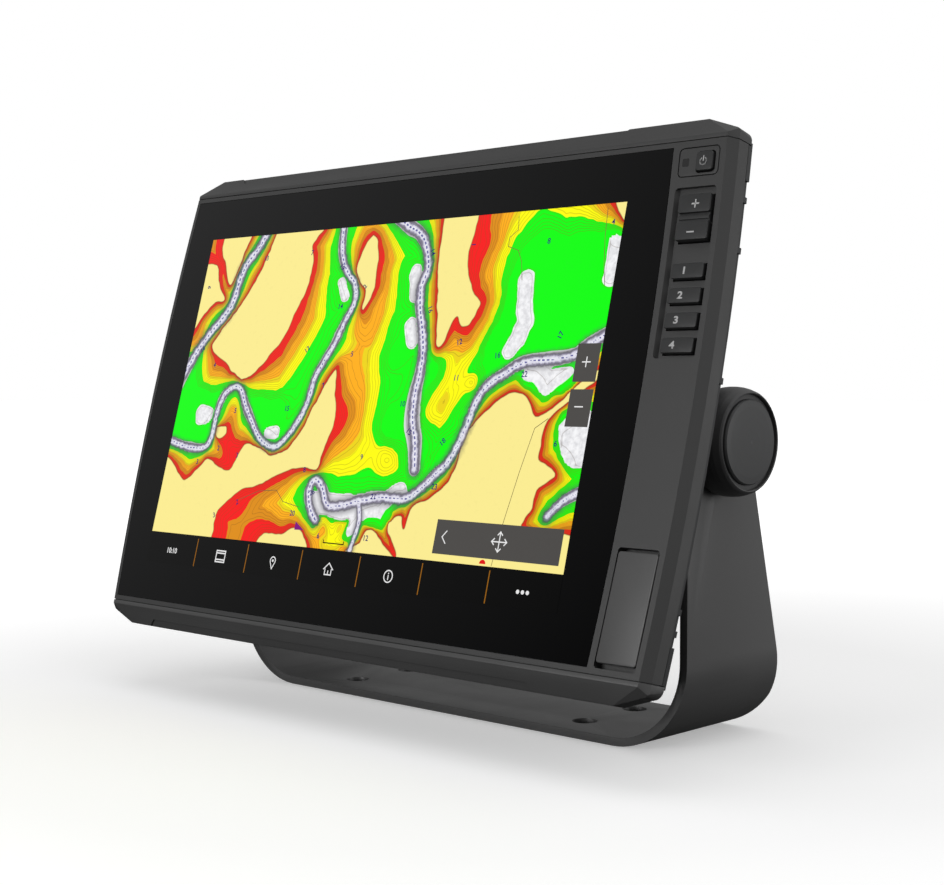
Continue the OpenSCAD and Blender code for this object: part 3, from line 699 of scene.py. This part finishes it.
INK_LIFT = 0.13  # printed on the menu bar and soft keys, in mm above the face
plate("menu_bar", rect(0, 0, LIT_W, BAR_H), 0.08, BLACK, place=LIT)
CELL = LIT_W / 7
dividers = [[(CELL * i, 0.5), (CELL * i, BAR_H - 1.7)] for i in range(1, 7)]
strokes("menu_dividers", dividers, 0.55, 0.12, AMBER, place=LIT)
MENU_Y = 6.3
figures("clock", "10:10", 3.6, CELL * 0.5, MENU_Y, INK_LIFT, WHITE, place=LIT, bold=0.06)


def icon(name, cell, paths, width=0.5):
    """White menu icon; its paths are measured from the middle of its cell."""
    x = CELL * (cell + 0.5)
    moved = [[(x + u, MENU_Y + v) for u, v in path] for path in paths]
    strokes(name, moved, width, INK_LIFT, WHITE, place=LIT)


icon("window_icon", 1, [
    rect(-3.2, -2.6, 3.2, 2.6) + [(-3.2, -2.6)], [(-3.2, 1.5), (3.2, 1.5)], [(-3.2, -1.5), (3.2, -1.5)],
], 0.6)
icon("marker_icon", 2, [
    arc(0, 0.9, 1.7, -30, 210), [(-1.5, 0.1), (0, -2.8), (1.5, 0.1)], arc(0, 0.9, 0.3, 0, 360, 10),
])
icon("house_icon", 3, [
    [(-2.9, 0), (0, 2.7), (2.9, 0)], [(-2, 0), (-2, -2.4), (2, -2.4), (2, 0)], [(0, -2.4), (0, -0.8)],
])
icon("info_icon", 4, [arc(0, 0, 2.5, 0, 360), [(0, -1.3), (0, 0.3)], [(0, 1.15), (0, 1.3)]])
for i in (-1, 0, 1):
    dot = arc(CELL * 6.5 + i * 2.5, MENU_Y, 0.85, 0, 345, 16)
    plate(f"menu_dot_{i + 2}", dot, INK_LIFT, WHITE, place=LIT)


def on_map(u, v):
    """Point given in mm across and down from the map's upper left corner."""
    return u, LIT_H - v


def soft_key(name, u0, v0, u1, v1):
    plate(name, rect(*on_map(u0, v1), *on_map(u1, v0)), INK_LIFT, GREY, place=LIT)


soft_key("soft_key_in", 249, 57.5, 260.5, 73)
soft_key("soft_key_out", 249, 76, 260.5, 91)
soft_key("soft_key_pan", 190.5, 131.2, 258, 145.4)
strokes("soft_marks", [
    [on_map(252.6, 65), on_map(256.4, 65)], [on_map(254.5, 63.1), on_map(254.5, 66.9)],
    [on_map(252.6, 83), on_map(256.4, 83)],
    [on_map(196.8, 135.8), on_map(194.6, 138.3), on_map(196.8, 140.8)],
], 0.5, 0.17, WHITE, place=LIT)
# four-way arrow
mx, my = on_map(226, 138.3)
arrow = [[(mx - 4, my), (mx + 4, my)], [(mx, my - 4), (mx, my + 4)]]
for a, b in ((1, 0), (-1, 0), (0, 1), (0, -1)):
    tip = (mx + a * 4, my + b * 4)
    back, wing = (a * 1.2, b * 1.2), (b * 1.2, a * 1.2)
    arrow.append([
        (tip[0] - wing[0] - back[0], tip[1] - wing[1] - back[1]), tip,
        (tip[0] + wing[0] - back[0], tip[1] + wing[1] - back[1]),
    ])
strokes("pan_icon", arrow, 0.5, 0.17, WHITE, place=LIT)
# figure, place on the map and turn in degrees
SOUNDINGS = [
    ("12", 88, 58, 45), ("7", 78, 11, 0), ("7", 104, 75, 30), ("14", 158, 15, -65), ("16", 163, 41, -70),
    ("12", 184, 56, 15), ("16", 207, 62, 10), ("17", 239, 54, 70), ("22", 223.5, 70, 5), ("15", 164, 95, -35),
    ("18", 185, 99, 50), ("1", 182, 13, 90), ("26", 110.5, 124, 20), ("8", 102.5, 114, 10),
    ("19", 101, 19, -50), ("3", 53, 109, 0), ("2", 119, 29, 60), ("13", 45, 12, 0), ("11", 27, 19, 0),
    ("14", 105, 38, 0), ("5", 119, 60.5, 0), ("4", 22, 65, 0), ("15", 82, 86, 0), ("5", 45, 87.5, 0),
    ("9", 138, 107, 0), ("10", 157, 83, 0), ("11", 186, 71.5, 0), ("8", 224, 14, 0), ("20", 100, 134, 0),
    ("2", 38, 106, 0), ("3", 24, 113, 0), ("21", 150, 124, 0), ("23", 185, 118, 0), ("6", 246, 98, 0),
    ("4", 256, 8, 0), ("2", 60, 131, 20), ("3", 45, 138, 20), ("6", 120, 143, 0), ("12", 150, 142, 0),
    ("9", 5, 25, 80), ("16", 10, 57, 40),
]
for i, (text, u, v, turn) in enumerate(SOUNDINGS):
    figures(f"sounding_{i + 1:02d}", text, 3.4, *on_map(u, v), 0.12, NAVY, place=LIT, turn=turn, bold=0.05)
plate("chart_flag", [on_map(103.5, 137.5), on_map(109.5, 141), on_map(103.5, 141.2)], 0.12, PURPLE, place=LIT)
plate("chart_light", arc(219, LIT_H - 147.6, 1.7, 0, 180, 16), 0.12, RED, place=LIT)
scale_bar = [(124, 144.5), (124, 145.6), (137, 145.6), (137, 144.5)]
strokes("scale_bar", [[on_map(u, v) for u, v in scale_bar]], 0.5, 0.12, BLACK, place=LIT)
TRACKS = [
    [(224, 148), (226, 132), (230, 110), (234, 92), (240, 88)],
    [(205, 2), (206, 8), (202, 11), (202, 15), (208, 17), (211, 22), (213, 30)],
    [(252, 2), (253, 14), (255, 26), (257, 34)],
    [(60, 130), (74, 125), (86, 124), (92, 129), (104, 131)],
]
TRACK = ink("lit_track", srgb(110, 96, 60), 1.0)
strokes("chart_tracks", [[on_map(u, v) for u, v in line] for line in TRACKS], 0.28, 0.115, TRACK, place=LIT)

# ---------------------------------------------------------------- key marks and sensor
MARK = ink("key_print", grey(0.5), rough=0.5)
LENS = ink("sensor_window_lens", grey(0.02), rough=0.2)
plate("sensor_window", rounded(19.7, 16.6, 92.6, 95.9, 0.6), 0.03, LENS, thick=0.05)
for i in range(4):
    z = KEY_TOP - KEY_STEP * i - KEY_H / 2
    name = f"key_mark_{i + 1}"
    figures(name, str(i + 1), 3.9, 152.2, z, 0.72, MARK, body=f"key_{i + 1}", bold=0.12, wide=1.25)
signs = [[(151.6, 76.7), (154.4, 76.7)], [(153, 75.3), (153, 78.1)], [(151.3, 65.5), (154.1, 65.5)]]
strokes("rocker_marks", signs, 0.6, 1.53, MARK, body="rocker")
sign = [arc(153.1, 93.7, 1.45, 125, 415), [(153.1, 94), (153.1, 95.7)]]
strokes("power_mark", sign, 0.42, 1.23, MARK, body="power_key")

# ---------------------------------------------------------------- studio
def area(name, at, to, size, power):
    """Square area light aimed at a point, in metres and watts."""
    data = bpy.data.lights.new(name, "AREA")
    data.shape = "SQUARE"
    data.size = size
    data.energy = power
    obj = bpy.data.objects.new(name, data)
    scene.collection.objects.link(obj)
    obj.location = at
    obj.rotation_euler = (Vector(to) - Vector(at)).to_track_quat("-Z", "Y").to_euler()


area("top_light", (0.1, -0.3, 1.6), (0, 0, 0.1), 1.0, 3)
area("front_light", (-0.25, -1.9, 0.45), (0, 0, 0.1), 1.0, 19)
area("side_light", (1.7, 0.5, 0.2), (0.1, 0, 0.14), 0.8, 9)


def studio_world():
    """White backdrop; its light comes from above, from the right and from a patch on the left that the
    glass mirrors, and fades below the horizon."""
    w = bpy.data.worlds.new("studio")
    w.use_nodes = True
    nt = w.node_tree

    def add(kind, *sources, **props):
        n = nt.nodes.new("ShaderNode" + kind)
        for k, v in props.items():
            setattr(n, k, v)
        for i, source in enumerate(sources):
            if hasattr(source, "is_linked"):
                nt.links.new(source, n.inputs[i])
            elif source is not None:
                n.inputs[i].default_value = source
        return n

    way = add("TexCoord").outputs["Generated"]
    split = add("SeparateXYZ", way)
    grade = add("ValToRGB", add("MapRange", split.outputs[2], -1.0, 1.0, 0.0, 1.0).outputs[0])
    ramp = grade.color_ramp
    # from straight down at 0 through the horizon at 0.5 to straight up at 1
    levels = ((0.0, 0.02), (0.34, 0.03), (0.46, 0.26), (0.54, 0.34), (0.75, 0.45), (1.0, 0.7))
    while len(ramp.elements) < len(levels):
        ramp.elements.new(1)
    for e, (pos, v) in zip(ramp.elements, levels):
        e.position, e.color = pos, grey(v)
    bright_side, glow_side = (0.6, 0.45, 0.0), (-1.0, -0.4, 0.5)
    right = add("VectorMath", way, bright_side, operation="DOT_PRODUCT").outputs["Value"]
    share = add("MapRange", right, -0.7, 0.7, 0.12, 1.45).outputs[0]
    left = add("VectorMath", way, glow_side, operation="DOT_PRODUCT").outputs["Value"]
    glow = add("MapRange", left, 1.01, 1.19, 0.0, 1.4).outputs[0]
    total = add("Math", share, glow, operation="ADD").outputs[0]
    light = nt.nodes["Background"]
    nt.links.new(grade.outputs[0], light.inputs["Color"])
    nt.links.new(total, light.inputs["Strength"])
    white = add("Background", grey(1), 1.0)
    seen = add("LightPath").outputs["Is Camera Ray"]
    pick = add("MixShader", seen, light.outputs[0], white.outputs[0])
    nt.links.new(pick.outputs[0], nt.nodes["World Output"].inputs[0])
    return w


scene.world = studio_world()
# just below the base, so the two don't share a plane
FLOOR_Z = -0.0003
corners = [(-9, -9, FLOOR_Z), (9, -9, FLOOR_Z), (9, 9, FLOOR_Z), (-9, 9, FLOOR_Z)]
floor_mesh = bpy.data.meshes.new("studio_floor")
floor_mesh.from_pydata(corners, [], [(0, 1, 2, 3)])
floor_mesh.materials.append(floor_material())
studio_floor = bpy.data.objects.new("studio_floor", floor_mesh)
scene.collection.objects.link(studio_floor)
studio_floor.visible_diffuse = False
studio_floor.visible_glossy = False
